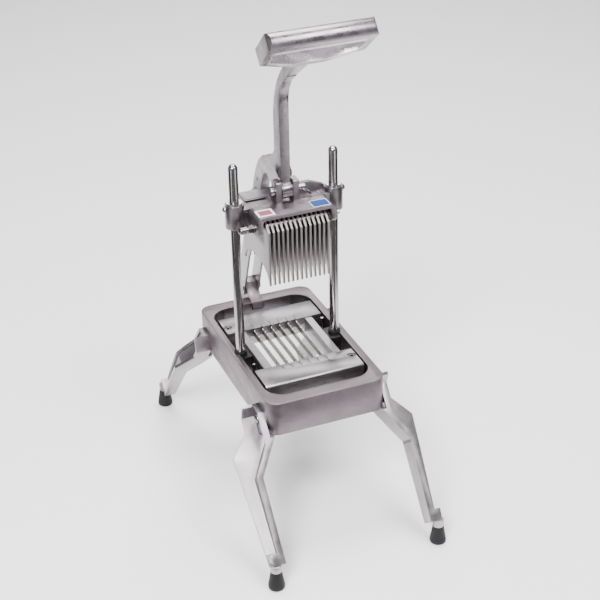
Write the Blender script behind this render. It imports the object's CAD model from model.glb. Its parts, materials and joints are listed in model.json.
"""A bench-top lever slicer: cast legs and base, polished rods, plate pusher and pocketed grip."""

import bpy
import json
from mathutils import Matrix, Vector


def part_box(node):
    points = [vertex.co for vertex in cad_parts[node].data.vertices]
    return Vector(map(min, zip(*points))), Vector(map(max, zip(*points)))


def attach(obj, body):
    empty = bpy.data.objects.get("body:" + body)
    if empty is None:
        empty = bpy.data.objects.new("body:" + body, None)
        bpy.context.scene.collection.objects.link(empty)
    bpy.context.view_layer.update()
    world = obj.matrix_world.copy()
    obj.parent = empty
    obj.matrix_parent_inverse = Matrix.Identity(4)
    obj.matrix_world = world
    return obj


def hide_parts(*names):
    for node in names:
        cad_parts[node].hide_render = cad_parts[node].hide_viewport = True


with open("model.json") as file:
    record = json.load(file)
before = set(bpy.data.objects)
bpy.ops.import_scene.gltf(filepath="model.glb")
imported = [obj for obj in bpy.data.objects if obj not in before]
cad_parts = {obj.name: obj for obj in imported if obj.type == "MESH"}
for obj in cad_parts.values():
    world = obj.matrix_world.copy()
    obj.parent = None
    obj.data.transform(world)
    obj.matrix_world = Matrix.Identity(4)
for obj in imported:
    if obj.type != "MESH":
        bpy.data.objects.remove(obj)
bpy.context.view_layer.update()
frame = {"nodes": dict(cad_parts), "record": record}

import json
import math

import bmesh
import bpy
from mathutils import Matrix, Vector
from mathutils.bvhtree import BVHTree

MM = 0.001
NODES = frame["nodes"]
BODY_OF = {node: body for body, nodes in frame["record"]["behaviour"]["bodies"].items()
           for node in nodes}
SLOT_OF = {row["node"]: row["material_slot"] for row in frame["record"]["subparts"]}

# Heights and stretches of the castings, in millimetres
BRIDGE_TOP = 433.5
DECK_TOP = 430.0
BASE_WELL = {"low": (-73.6, -120.6, 100), "high": (73.6, 120.6, 212.4)}
GRIP_POCKET = {"low": (-57.5, -13, -18), "high": (57.5, 37, -0.4), "centre": (0, -101, 660.7),
               "tilt": 140}
PLATE_TOPS = {"low": (-60, -26.5, 392), "high": (60, 40, 440), "edge": 9}

# Rounding of the softened pieces: angles in degrees, widths in millimetres
EDGE_ANGLE = 28
END_ANGLE = 50
END_SHARE = 2.5
SLIVER = 0.6
SMOOTH_ANGLE = 35

# How far a leg goes outwards for its way down
LEG_SPLAY = 0.42
LEG_DROP = 0.9

CARD_LIFT = 0.002


# ---------- camera, floor and lights ----------

def view_matrix(place, yaw, pitch, roll):
    """At place, looking along +Y turned by yaw and tipped down by pitch, rolled about the view."""
    turn = Matrix.Rotation(yaw, 4, "Z") @ Matrix.Rotation(math.pi / 2 - pitch, 4, "X")
    return Matrix.Translation(place) @ turn @ Matrix.Rotation(roll, 4, "Z")


def add_camera():
    lens = bpy.data.cameras.new("bench_camera")
    lens.lens = 88.05
    lens.sensor_width = 36
    lens.clip_end = 50
    camera = bpy.data.objects.new("bench_camera", lens)
    yaw, pitch, roll = (math.radians(angle) for angle in (-21.90, 29.80, -1.176))
    camera.matrix_world = view_matrix((-0.6300, -1.6118, 1.2707), yaw, pitch, roll)
    bpy.context.collection.objects.link(camera)
    bpy.context.scene.camera = camera


def add_area_light(name, place, size, power, aim=(0, 0, 0.3)):
    """A softbox at place that faces aim."""
    lamp = bpy.data.lights.new(name, "AREA")
    lamp.shape = "RECTANGLE"
    lamp.size, lamp.size_y = size
    lamp.energy = power
    light = bpy.data.objects.new(name, lamp)
    light.location = place
    light.rotation_euler = (Vector(aim) - Vector(place)).to_track_quat("-Z", "Y").to_euler()
    bpy.context.collection.objects.link(light)


def add_studio():
    add_area_light("key_softbox", (-1.3, -1.5, 2.1), (0.9, 0.9), 125)
    add_area_light("fill_softbox", (0.55, -1.15, 1.9), (0.9, 0.7), 36, aim=(0, 0, 0.6))
    add_area_light("top_softbox", (0.1, 0.5, 2.6), (2.0, 1.2), 100)
    add_area_light("back_softbox", (0.9, 2.3, 1.6), (1.4, 0.9), 20)
    world = bpy.data.worlds.new("pale_room")
    world.use_nodes = True
    world.node_tree.nodes["Background"].inputs["Color"].default_value = (0.93, 0.93, 0.94, 1)
    world.node_tree.nodes["Background"].inputs["Strength"].default_value = 0.35
    bpy.context.scene.world = world


def matt_sheet(name, corners, paint_name, colour):
    """A flat matt sheet for the set."""
    mesh = bpy.data.meshes.new(name)
    mesh.from_pydata(corners, [], [(0, 1, 2, 3)])
    sheet = bpy.data.objects.new(name, mesh)
    bpy.context.collection.objects.link(sheet)
    paint = bpy.data.materials.new(paint_name)
    paint.use_nodes = True
    shader = paint.node_tree.nodes["Principled BSDF"]
    shader.inputs["Base Color"].default_value = (*colour, 1)
    shader.inputs["Roughness"].default_value = 0.9
    mesh.materials.append(paint)
    return sheet


def add_floor():
    reach = 6
    corners = [(-reach, -reach, 0), (reach, -reach, 0), (reach, reach, 0), (-reach, reach, 0)]
    floor = matt_sheet("studio_floor", corners, "floor_paint", (0.93, 0.93, 0.93))


def add_flag(name, corners):
    """A charcoal card beside the set, which shows only as something dark in polished metal."""
    flag = matt_sheet(name, corners, name + "_cloth", (0.03, 0.03, 0.03))
    flag.visible_camera = False
    flag.visible_diffuse = False
    flag.visible_shadow = False


def standing_card(start, end):
    """The corners of an upright card between two places on the floor."""
    tall = 0.42
    return [(*start, CARD_LIFT), (*end, CARD_LIFT), (*end, tall), (*start, tall)]


def add_flags():
    """Cards just outside the picture: two standing at the sides and one lying in front."""
    add_flag("left_flag", standing_card((-0.62, -0.15), (-0.50, 0.65)))
    add_flag("right_flag", standing_card((0.36, -0.44), (0.78, 0.24)))
    lying = ((-0.76, -0.01), (-1.24, -1.11), (0.04, -1.68), (0.52, -0.58))
    add_flag("front_flag", [(*corner, CARD_LIFT) for corner in lying])


# ---------- node groups that the finishes share ----------

def new_group(name, inputs, outputs):
    """A shader group, with its input and output nodes."""
    group = bpy.data.node_groups.new(name, "ShaderNodeTree")
    for label, kind, value in inputs:
        socket = group.interface.new_socket(label, in_out="INPUT", socket_type=kind)
        if value is not None:
            socket.default_value = value
    for label, kind in outputs:
        group.interface.new_socket(label, in_out="OUTPUT", socket_type=kind)
    return group, group.nodes.new("NodeGroupInput"), group.nodes.new("NodeGroupOutput")


def noise(tree, vector, scale, detail, rough):
    node = tree.nodes.new("ShaderNodeTexNoise")
    node.inputs["Detail"].default_value = detail
    node.inputs["Roughness"].default_value = rough
    tree.links.new(vector, node.inputs["Vector"])
    if isinstance(scale, (int, float)):
        node.inputs["Scale"].default_value = scale
    else:
        tree.links.new(scale, node.inputs["Scale"])
    return node.outputs["Fac"]


def maths(tree, operation, a, b, clamp=False):
    node = tree.nodes.new("ShaderNodeMath")
    node.operation = operation
    node.use_clamp = clamp
    for socket, value in zip(node.inputs, (a, b)):
        if isinstance(value, (int, float)):
            socket.default_value = value
        else:
            tree.links.new(value, socket)
    return node.outputs[0]


def remap(tree, value, low, high, to_low=0.0, to_high=1.0):
    node = tree.nodes.new("ShaderNodeMapRange")
    limits = {"From Min": low, "From Max": high, "To Min": to_low, "To Max": to_high}
    for label, number in limits.items():
        node.inputs[label].default_value = number
    tree.links.new(value, node.inputs["Value"])
    return node.outputs["Result"]


def blend_colours(tree, factor, a, b):
    node = tree.nodes.new("ShaderNodeMix")
    node.data_type = "RGBA"
    for label, value in (("Factor", factor), ("A", a), ("B", b)):
        socket = node.inputs[label]
        if isinstance(value, bpy.types.NodeSocket):
            tree.links.new(value, socket)
        else:
            socket.default_value = value
    return node.outputs["Result"]


FINISH_OUTPUTS = (("Color", "NodeSocketColor"), ("Roughness", "NodeSocketFloat"),
                  ("Normal", "NodeSocketVector"))


def add_bump(group, given, made, height, distance):
    bump = group.nodes.new("ShaderNodeBump")
    bump.inputs["Distance"].default_value = distance
    group.links.new(given.outputs["Depth"], bump.inputs["Strength"])
    group.links.new(height, bump.inputs["Height"])
    group.links.new(bump.outputs["Normal"], made.inputs["Normal"])


def weighted_sum(tree, a, a_share, b, b_share):
    return maths(tree, "ADD", maths(tree, "MULTIPLY", a, a_share),
                 maths(tree, "MULTIPLY", b, b_share))


def casting_group():
    """Tumbled sand casting: broad cloudy tone, fine pits and a few dull patches."""
    group, given, made = new_group(
        "tumbled_casting",
        (("Vector", "NodeSocketVector", None), ("Light", "NodeSocketColor", (0.6, 0.6, 0.6, 1)),
         ("Dark", "NodeSocketColor", (0.4, 0.4, 0.4, 1)), ("Grain", "NodeSocketFloat", 600.0),
         ("Gloss", "NodeSocketFloat", 0.4), ("Depth", "NodeSocketFloat", 0.2)),
        FINISH_OUTPUTS)
    vector = given.outputs["Vector"]
    cloud = noise(group, vector, 22.0, 5.0, 0.6)
    patch = noise(group, vector, 75.0, 4.0, 0.6)
    pits = noise(group, vector, given.outputs["Grain"], 3.0, 0.7)
    tone = remap(group, weighted_sum(group, cloud, 0.6, patch, 0.4), 0.36, 0.64)
    colour = blend_colours(group, tone, given.outputs["Dark"], given.outputs["Light"])
    group.links.new(colour, made.inputs["Color"])
    spread = remap(group, patch, 0.3, 0.7, -0.09, 0.09)
    speckle = remap(group, pits, 0.3, 0.7, 0.05, -0.05)
    rough = maths(group, "ADD", given.outputs["Gloss"], maths(group, "ADD", spread, speckle),
                  clamp=True)
    group.links.new(rough, made.inputs["Roughness"])
    add_bump(group, given, made, weighted_sum(group, pits, 0.6, patch, 0.12), 0.0006)
    return group


def brushed_group():
    """Fine parallel lines along one axis, set by the stretch of the coordinates."""
    group, given, made = new_group(
        "brushed_metal",
        (("Vector", "NodeSocketVector", None), ("Light", "NodeSocketColor", (0.7, 0.7, 0.7, 1)),
         ("Dark", "NodeSocketColor", (0.55, 0.55, 0.55, 1)), ("Gloss", "NodeSocketFloat", 0.25),
         ("Depth", "NodeSocketFloat", 0.1)),
        FINISH_OUTPUTS)
    lines = noise(group, given.outputs["Vector"], 900.0, 2.0, 0.7)
    smear = noise(group, given.outputs["Vector"], 60.0, 3.0, 0.5)
    tone = remap(group, maths(group, "ADD", lines, smear), 0.8, 1.2)
    colour = blend_colours(group, tone, given.outputs["Dark"], given.outputs["Light"])
    group.links.new(colour, made.inputs["Color"])
    rough = maths(group, "ADD", given.outputs["Gloss"], remap(group, lines, 0.3, 0.7, -0.06, 0.08),
                  clamp=True)
    group.links.new(rough, made.inputs["Roughness"])
    add_bump(group, given, made, lines, 0.0002)
    return group


CASTING = casting_group()
BRUSHED = brushed_group()


# ---------- finishes ----------

def tinted(colour, factor=1.0):
    """A colour with alpha, made lighter or darker by factor."""
    return tuple(min(1.0, part * factor) for part in colour) + (1.0,)


def new_finish(name, metallic=1.0):
    """A material, with its tree, its shader and the place on the piece."""
    material = bpy.data.materials.new(name)
    material.use_nodes = True
    tree = material.node_tree
    shader = tree.nodes["Principled BSDF"]
    shader.inputs["Metallic"].default_value = metallic
    place = tree.nodes.new("ShaderNodeTexCoord").outputs["Object"]
    return material, tree, shader, place


def use_group(tree, shader, group, vector, values):
    """Colour, roughness and normal of the shader come from a shared group with these values."""
    node = tree.nodes.new("ShaderNodeGroup")
    node.node_tree = group
    tree.links.new(vector, node.inputs["Vector"])
    for label, value in values.items():
        node.inputs[label].default_value = value
    tree.links.new(node.outputs["Color"], shader.inputs["Base Color"])
    tree.links.new(node.outputs["Roughness"], shader.inputs["Roughness"])
    tree.links.new(node.outputs["Normal"], shader.inputs["Normal"])
    return node


def inside_box(tree, place, low, high, centre=(0, 0, 0), tilt=0.0, edge=0.8):
    """1 inside a box given in millimetres about centre, tilted about X, fading to 0 over edge."""
    turned = tree.nodes.new("ShaderNodeMapping")
    turned.vector_type = "TEXTURE"
    turned.inputs["Location"].default_value = tuple(part * MM for part in centre)
    turned.inputs["Rotation"].default_value = (math.radians(tilt), 0, 0)
    tree.links.new(place, turned.inputs["Vector"])
    split = tree.nodes.new("ShaderNodeSeparateXYZ")
    tree.links.new(turned.outputs["Vector"], split.inputs["Vector"])
    inside = None
    for axis, near, far in zip("XYZ", low, high):
        middle, half = (near + far) / 2 * MM, (far - near) / 2 * MM
        off = maths(tree, "ABSOLUTE", maths(tree, "SUBTRACT", split.outputs[axis], middle), 0.0)
        within = remap(tree, off, half, half + edge * MM, 1.0, 0.0)
        inside = within if inside is None else maths(tree, "MULTIPLY", inside, within)
    return inside


def shade_stretch(tree, shader, place, around, colour, low, high, **where):
    """Another base colour inside one box of a piece, where around is the colour about it."""
    inside = inside_box(tree, place, low, high, **where)
    tree.links.new(blend_colours(tree, inside, around, tinted(colour)), shader.inputs["Base Color"])


def cast_finish(name, colour, gloss, depth, contrast=0.86, raw=None):
    """raw holds the box and colour of a stretch that is left dark or light as it was cast."""
    material, tree, shader, place = new_finish(name)
    node = use_group(tree, shader, CASTING, place, {
        "Light": tinted(colour, 1.08), "Dark": tinted(colour, contrast), "Grain": 650.0,
        "Gloss": gloss, "Depth": depth})
    if raw:
        shade_stretch(tree, shader, place, node.outputs["Color"], **raw)
    return material


def brushed_finish(name, colour, gloss, depth, stretch=(1, 0.04, 1), raw=None):
    """stretch draws the grain out along the axis whose share is small."""
    material, tree, shader, place = new_finish(name)
    mapping = tree.nodes.new("ShaderNodeMapping")
    mapping.inputs["Scale"].default_value = stretch
    tree.links.new(place, mapping.inputs["Vector"])
    node = use_group(tree, shader, BRUSHED, mapping.outputs["Vector"], {
        "Light": tinted(colour, 1.05), "Dark": tinted(colour, 0.9), "Gloss": gloss,
        "Depth": depth})
    if raw:
        shade_stretch(tree, shader, place, node.outputs["Color"], **raw)
    return material


def rubber_finish(name):
    material, tree, shader, place = new_finish(name, metallic=0.0)
    use_group(tree, shader, CASTING, place, {
        "Light": (0.010, 0.010, 0.011, 1), "Dark": (0.005, 0.005, 0.006, 1), "Grain": 1400.0,
        "Gloss": 0.55, "Depth": 0.25})
    shader.inputs["Specular IOR Level"].default_value = 0.25
    return material


FINISHES = {
    "base_cast_aluminium": cast_finish(
        "tumbled_base_casting", (0.235, 0.198, 0.215), 0.42, 0.30,
        raw={"colour": (0.05, 0.043, 0.046), **BASE_WELL}),
    "leg_cast_aluminium": cast_finish(
        "tumbled_leg_casting", (0.40, 0.372, 0.392), 0.38, 0.45),
    "carriage_cast_aluminium": cast_finish(
        "tumbled_carriage_casting", (0.25, 0.222, 0.238), 0.36, 0.25),
    "handle_cast_aluminium": cast_finish(
        "polished_handle_casting", (0.27, 0.238, 0.258), 0.30, 0.12, contrast=0.93,
        raw={"colour": (0.85, 0.80, 0.83), **GRIP_POCKET}),
    "polished_rod_steel": brushed_finish(
        "polished_guide_rod", (0.40, 0.375, 0.375), 0.15, 0.04, (1, 1, 0.03)),
    "fastener_steel": brushed_finish(
        "bright_fastener_steel", (0.36, 0.34, 0.34), 0.2, 0.05, (0.1, 1, 1)),
    "bumper_rubber": rubber_finish("bumper_rubber_black"),
    "foot_rubber": rubber_finish("foot_rubber_black"),
    "machined_aluminium": brushed_finish(
        "milled_blade_block", (0.36, 0.34, 0.355), 0.33, 0.05, (0.06, 1, 1)),
    "blade_steel": brushed_finish("ground_blade_steel", (0.30, 0.28, 0.27), 0.18, 0.05),
    "bushing_metal": brushed_finish(
        "turned_bushing", (0.48, 0.465, 0.465), 0.22, 0.06, (1, 1, 0.2)),
    "pusher_plate_metal": brushed_finish(
        "satin_pusher_plate", (0.33, 0.30, 0.30), 0.34, 0.10, (1, 1, 0.05),
        raw={"colour": (0.05, 0.045, 0.045), **PLATE_TOPS}),
    "link_steel": brushed_finish(
        "brushed_link_strip", (0.33, 0.31, 0.315), 0.28, 0.10, (1, 1, 0.05)),
}
DARK_SCREW = brushed_finish("blackened_screw", (0.09, 0.085, 0.085), 0.3, 0.05)
SPRUNG_WIRE = brushed_finish("sprung_wire", (0.17, 0.16, 0.16), 0.16, 0.03)
KNOB_STEEL = brushed_finish("turned_knob", (0.22, 0.205, 0.205), 0.12, 0.03)
NODE_FINISHES = {"block_screws": DARK_SCREW, "pull_ring": SPRUNG_WIRE,
                 "thumbscrew_left": KNOB_STEEL}


def label_finish(name, colour):
    """Matt printed paper."""
    material, tree, shader, place = new_finish(name, metallic=0.0)
    print_grain = noise(tree, place, 900.0, 3.0, 0.6)
    shade = blend_colours(tree, remap(tree, print_grain, 0.3, 0.7), tinted(colour, 0.94),
                          tinted(colour, 1.04))
    tree.links.new(shade, shader.inputs["Base Color"])
    tree.links.new(remap(tree, print_grain, 0.3, 0.7, 0.5, 0.6), shader.inputs["Roughness"])
    shader.inputs["Specular IOR Level"].default_value = 0.2
    return material


LABEL_PAPER = label_finish("label_paper", (0.72, 0.72, 0.74))
LABEL_BLUE = label_finish("label_blue_ink", (0.006, 0.040, 0.19))
LABEL_ROSE = label_finish("label_rose_ink", (0.24, 0.07, 0.09))
LEG_CHANNEL = cast_finish("leg_channel_as_cast", (0.22, 0.203, 0.214), 0.45, 0.6)


def dress_cad_nodes():
    for node, thing in NODES.items():
        thing.data.materials.clear()
        thing.data.materials.append(NODE_FINISHES.get(node, FINISHES[SLOT_OF[node]]))


# ---------- pieces that stand for CAD nodes, with their edges rounded over ----------

def finish_mesh(mesh, materials):
    """Put the materials on and smooth everything but the true edges."""
    for material in materials:
        mesh.materials.append(material)
    for face in mesh.polygons:
        face.use_smooth = True
    mesh.set_sharp_from_angle(angle=math.radians(SMOOTH_ANGLE))


def new_piece(name, mesh, node):
    """A piece that rides with a node's body and shares the node's material slot."""
    body, slot = BODY_OF[node], SLOT_OF[node]
    piece = bpy.data.objects.new(name, mesh)
    bpy.context.collection.objects.link(piece)
    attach(piece, body)
    return piece


def round_over(form, width, angle, segments, below=None):
    """Bevel the edges sharper than angle whose faces are both wider than a sliver."""
    form.normal_update()
    corners = []
    for edge in form.edges:
        if len(edge.link_faces) != 2 or edge.calc_face_angle() <= math.radians(angle):
            continue
        if below is not None and max(corner.co.z for corner in edge.verts) > below * MM:
            continue
        if min(face.calc_area() for face in edge.link_faces) > SLIVER * MM * edge.calc_length():
            corners.append(edge)
    bmesh.ops.bevel(form, geom=corners, offset=width * MM, offset_type="OFFSET", segments=segments,
                    profile=0.5, affect="EDGES", clamp_overlap=True)


def softened(node, name, width, end_below=None, channel=None):
    """A node's own solid with its edges rounded over by width, and by more below end_below.

    Both are in millimetres. The material channel goes on the faces that mark_channel finds."""
    mesh = bpy.data.meshes.new(name)
    form = bmesh.new()
    form.from_mesh(NODES[node].data)
    bmesh.ops.remove_doubles(form, verts=form.verts, dist=2e-6)
    bmesh.ops.dissolve_limit(form, angle_limit=math.radians(0.6), verts=form.verts,
                             edges=form.edges)
    if end_below is not None:
        round_over(form, END_SHARE * width, END_ANGLE, 3, below=end_below)
    round_over(form, width, EDGE_ANGLE, 2)
    if channel is not None:
        mark_channel(form)
    form.to_mesh(mesh)
    form.free()
    finish_mesh(mesh, [FINISHES[SLOT_OF[node]]] + ([channel] if channel else []))
    piece = new_piece(name, mesh, node)
    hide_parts(node)


def mark_channel(form):
    """Give the second material to the faces that lie between a leg's lip and its flange."""
    bmesh.ops.triangulate(form, faces=[face for face in form.faces if len(face.verts) > 4])
    form.normal_update()
    tree = BVHTree.FromBMesh(form)
    lift, reach = 0.8 * MM, 30 * MM
    least_sideways = 0.6
    for face in form.faces:
        middle, out = face.calc_center_median(), face.normal
        if abs(out.x) < least_sideways:
            continue
        down_leg = Vector((0, -LEG_SPLAY if middle.y < 0 else LEG_SPLAY, -LEG_DROP))
        across = Vector((1, 0, 0)).cross(down_leg).normalized()
        across -= across.dot(out) * out
        hits = [tree.ray_cast(middle + out * lift, way, reach)[0] for way in (across, -across)]
        face.material_index = 1 if any(hit is not None for hit in hits) else 0


def lathe(form, profile, segments):
    """A turned part about Z added to form: profile is [(radius, height)] in millimetres."""
    on_axis = 1e-6
    rings = []
    for radius, height in profile:
        if radius < on_axis:
            rings.append([form.verts.new(Vector((0, 0, height * MM)))])
            continue
        ring = []
        for step in range(segments):
            turn = 2 * math.pi * step / segments
            spot = Vector((radius * math.cos(turn), radius * math.sin(turn), height)) * MM
            ring.append(form.verts.new(spot))
        rings.append(ring)
    for low, high in zip(rings, rings[1:]):
        for step in range(segments):
            after = (step + 1) % segments
            corners = [low[step % len(low)], low[after % len(low)],
                       high[after % len(high)], high[step % len(high)]]
            unique = [v for k, v in enumerate(corners) if v not in corners[:k]]
            if len(unique) > 2:
                form.faces.new(unique)


def capped(*points):
    """A profile closed on the axis at both ends."""
    return [(0.0, points[0][1]), *points, (0.0, points[-1][1])]


def islands(node):
    """The boxes of a node's separate solids, as (low, high) in metres."""
    form = bmesh.new()
    form.from_mesh(NODES[node].data)
    bmesh.ops.remove_doubles(form, verts=form.verts, dist=1e-6)
    left, boxes = set(form.verts), []
    while left:
        island, edge = set(), [left.pop()]
        while edge:
            corner = edge.pop()
            island.add(corner)
            near = {link.other_vert(corner) for link in corner.link_edges} & left
            left -= near
            edge.extend(near)
        spots = [corner.co for corner in island]
        boxes.append((Vector([min(spot[k] for spot in spots) for k in range(3)]),
                      Vector([max(spot[k] for spot in spots) for k in range(3)])))
    form.free()
    return sorted(boxes, key=lambda box: tuple(box[0]))


def fastener_tree():
    """Geometry Nodes: one template on every point, turned by the point's own aim."""
    tree = bpy.data.node_groups.new("fasteners_on_points", "GeometryNodeTree")
    for label, kind in (("Points", "NodeSocketGeometry"), ("Template", "NodeSocketObject"),
                        ("Finish", "NodeSocketMaterial")):
        tree.interface.new_socket(label, in_out="INPUT", socket_type=kind)
    tree.interface.new_socket("Fasteners", in_out="OUTPUT", socket_type="NodeSocketGeometry")
    given, made = tree.nodes.new("NodeGroupInput"), tree.nodes.new("NodeGroupOutput")
    template = tree.nodes.new("GeometryNodeObjectInfo")
    aim = tree.nodes.new("GeometryNodeInputNamedAttribute")
    aim.data_type = "FLOAT_VECTOR"
    aim.inputs["Name"].default_value = "aim"
    placed = tree.nodes.new("GeometryNodeInstanceOnPoints")
    real = tree.nodes.new("GeometryNodeRealizeInstances")
    finish = tree.nodes.new("GeometryNodeSetMaterial")
    link = tree.links.new
    link(given.outputs["Points"], placed.inputs["Points"])
    link(given.outputs["Template"], template.inputs["Object"])
    link(template.outputs["Geometry"], placed.inputs["Instance"])
    link(aim.outputs["Attribute"], placed.inputs["Rotation"])
    link(placed.outputs["Instances"], real.inputs["Geometry"])
    link(real.outputs["Geometry"], finish.inputs["Geometry"])
    link(given.outputs["Finish"], finish.inputs["Material"])
    link(finish.outputs["Geometry"], made.inputs["Fasteners"])
    return tree


FASTENER_TREE = fastener_tree()


def fasteners(name, node, profile, spots, aims, finish, segments=32):
    """One mesh of equal turned fasteners in place of a node, at spots and turned to aims."""
    template_mesh = bpy.data.meshes.new(name + "_template")
    form = bmesh.new()
    lathe(form, profile, segments)
    bmesh.ops.recalc_face_normals(form, faces=form.faces)
    form.to_mesh(template_mesh)
    form.free()
    template = bpy.data.objects.new(name + "_template", template_mesh)
    points_mesh = bpy.data.meshes.new(name + "_points")
    points_mesh.from_pydata([tuple(spot) for spot in spots], [], [])
    aim_data = points_mesh.attributes.new("aim", "FLOAT_VECTOR", "POINT")
    for row, aim in zip(aim_data.data, aims):
        row.vector = aim
    points = bpy.data.objects.new(name + "_points", points_mesh)
    bpy.context.collection.objects.link(points)
    bpy.context.collection.objects.link(template)
    modifier = points.modifiers.new("fasteners", "NODES")
    modifier.node_group = FASTENER_TREE
    given = {"Template": template, "Finish": finish}
    for item in FASTENER_TREE.interface.items_tree:
        if item.in_out == "INPUT" and item.name in given:
            modifier[item.identifier] = given[item.name]
    points.update_tag()
    bpy.context.view_layer.update()
    seen = points.evaluated_get(bpy.context.evaluated_depsgraph_get())
    mesh = bpy.data.meshes.new_from_object(seen)
    mesh.name = name
    for spent in (points, template):
        bpy.data.objects.remove(spent, do_unlink=True)
    finish_mesh(mesh, [])
    piece = new_piece(name, mesh, node)
    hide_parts(node)


def add_leg_bolts():
    """Domed bolts with a washer, aimed out of the base's side walls."""
    boxes = islands("leg_bolts")
    long = (boxes[0][1].x - boxes[0][0].x) / MM
    shank, washer, washer_rim, head, head_rise = 4, 7.2, 7.45, 6.9, 3.8
    seat, rim_low, rim_high, washer_top, head_foot = (
        long - below for below in (5.2, 5.0, 4.2, 3.95, 3.9))
    dome = [(head * math.cos(turn), head_foot + head_rise * math.sin(turn))
            for turn in (math.radians(12 * step) for step in range(8))]
    profile = capped((shank, 0), (shank, seat), (washer, seat), (washer_rim, rim_low),
                     (washer_rim, rim_high), (washer, washer_top), *dome)
    spots, aims = [], []
    for low, high in boxes:
        side = 1 if low.x > 0 else -1
        spots.append((low.x if side > 0 else high.x, (low.y + high.y) / 2, (low.z + high.z) / 2))
        aims.append((0, side * math.pi / 2, 0))
    fasteners("leg_bolts_domed", "leg_bolts", profile, spots, aims, FINISHES["fastener_steel"])


def add_tie_rod_end():
    """The right end of the front tie rod has a low hexagon nut."""
    low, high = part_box("thumbscrew_right")
    middle = ((low[1] + high[1]) / 2, (low[2] + high[2]) / 2)
    bore, flat, corner, tall, bevel = 3.02, 4.9, 5.6, 4.4, 0.5
    profile = [(bore, 0.0), (flat, 0.0), (corner, bevel), (corner, tall - bevel), (flat, tall),
               (bore, tall), (bore, 0.0)]
    fasteners("tie_rod_nut_right", "thumbscrew_right", profile, [(low[0], *middle)],
              [(0, math.pi / 2, 0)], KNOB_STEEL, segments=6)


def rounded_sheet(form, middle, size, corner, low_z, high_z, index):
    """A flat sheet with rounded corners, in millimetres, with the material at index."""
    outline, steps = [], 4
    for cx, cy, start in ((1, 1, 0), (-1, 1, 90), (-1, -1, 180), (1, -1, 270)):
        for step in range(steps + 1):
            turn = math.radians(start + 90 * step / steps)
            outline.append((middle[0] + cx * (size[0] / 2 - corner) + corner * math.cos(turn),
                            middle[1] + cy * (size[1] / 2 - corner) + corner * math.sin(turn)))
    low = [form.verts.new(Vector((x, y, low_z)) * MM) for x, y in outline]
    high = [form.verts.new(Vector((x, y, high_z)) * MM) for x, y in outline]
    faces = [form.faces.new(high), form.faces.new(low[::-1])]
    for step, corner_vert in enumerate(low):
        after = (step + 1) % len(low)
        faces.append(form.faces.new((corner_vert, low[after], high[after], high[step])))
    for face in faces:
        face.material_index = index


def sheet_piece(name, node, materials, *sheets):
    """A piece of stacked flat sheets, each with its own material."""
    mesh = bpy.data.meshes.new(name)
    form = bmesh.new()
    for index, sheet in enumerate(sheets):
        rounded_sheet(form, *sheet, index=index)
    form.to_mesh(mesh)
    form.free()
    finish_mesh(mesh, materials)
    new_piece(name, mesh, node)


def add_labels():
    """Two plain stickers on top of the bridge: a paper edge round an inked panel."""
    top = BRIDGE_TOP
    sheet_piece("bridge_label_left", "carriage_casting", [LABEL_PAPER, LABEL_ROSE],
                ((-40, -30), (23, 19), 1.2, top - 0.1, top + 0.14),
                ((-40, -30), (17, 13), 0.6, top + 0.1, top + 0.18))
    sheet_piece("bridge_label_right", "carriage_casting", [LABEL_PAPER, LABEL_BLUE],
                ((35.5, -31.5), (24, 19), 1.2, top - 0.1, top + 0.14),
                ((35.5, -31.5), (22.4, 17.4), 0.9, top + 0.1, top + 0.18))


def add_deck_pad():
    """The raised pad on the left of the deck."""
    sheet_piece("deck_cast_pad", "carriage_casting", [FINISHES["carriage_cast_aluminium"]] * 2,
                ((-32.5, 32), (33, 27), 1.5, DECK_TOP - 0.4, DECK_TOP + 1.1),
                ((-32.5, 32), (28, 22), 1.0, DECK_TOP + 1.0, DECK_TOP + 1.6))


def add_softened_castings():
    softened("base_casting", "base_cast_body", 1.1)
    softened("carriage_casting", "carriage_cast_body", 0.6)
    softened("handle", "handle_cast_body", 1.2)
    softened("blade_block_front", "front_blade_block_milled", 0.4)
    softened("blade_block_rear", "rear_blade_block_milled", 0.4)
    for corner in ("front_left", "front_right", "rear_left", "rear_right"):
        softened("leg_" + corner, "leg_cast_" + corner, 1.0, end_below=50, channel=LEG_CHANNEL)


# ---------- the whole scene ----------

add_camera()
add_studio()
add_floor()
add_flags()
dress_cad_nodes()
add_softened_castings()
add_leg_bolts()
add_tie_rod_end()
add_labels()
add_deck_pad()
